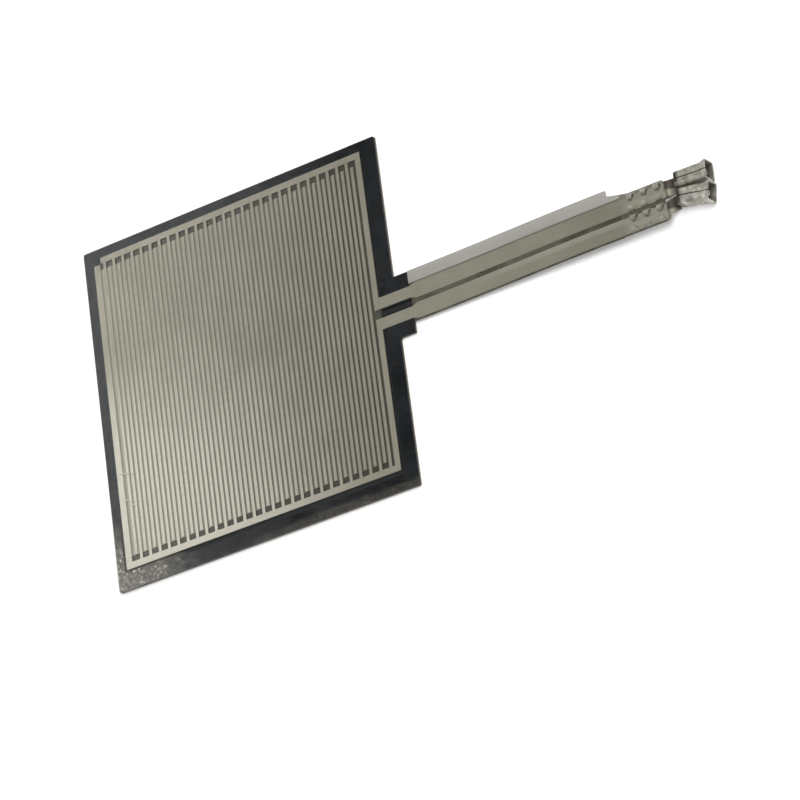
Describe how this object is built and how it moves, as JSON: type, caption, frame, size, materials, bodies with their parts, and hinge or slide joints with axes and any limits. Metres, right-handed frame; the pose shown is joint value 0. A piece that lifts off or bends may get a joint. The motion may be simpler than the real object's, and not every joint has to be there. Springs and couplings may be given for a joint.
{
  "type": "force sensor",
  "caption": "Flat square membrane force sensor with interleaved silver combs over a black force-sensing layer, a film tail and two crimped socket contacts.",
  "frame": {"origin": "middle of the square panel on its rear face, which is also the surface it lies on", "axes": "+X along the tail towards the contacts, +Y across the panel towards the bus of the upper electrode, +Z out of the sensing face"},
  "size_m": [0.0871, 0.0436, 0.002],
  "materials": {
    "clear_film": "clear glossy film, faintly hazy and finely scratched",
    "silver_print": "screen-printed silver, warm grey and satin",
    "clear_adhesive": "clear transfer adhesive",
    "carbon_print": "black force-sensing ink, matt and fine-grained",
    "base_film": "dark glossy film",
    "rear_adhesive": "translucent adhesive",
    "liner_paper": "coated release paper, dull",
    "clear_coating": "clear insulating coat",
    "tinned_contact": "tinned copper alloy, dulled and bent"
  },
  "bodies": {
    "root": {"face_film": "clear_film", "upper_electrode": "silver_print", "lower_electrode": "silver_print", "spacer_adhesive": "clear_adhesive", "carbon_print": "carbon_print", "base_film": "base_film", "rear_adhesive": "rear_adhesive", "release_liner": "liner_paper", "tail_coating": "clear_coating", "upper_contact": "tinned_contact", "lower_contact": "tinned_contact"}
  },
  "joints": []
}
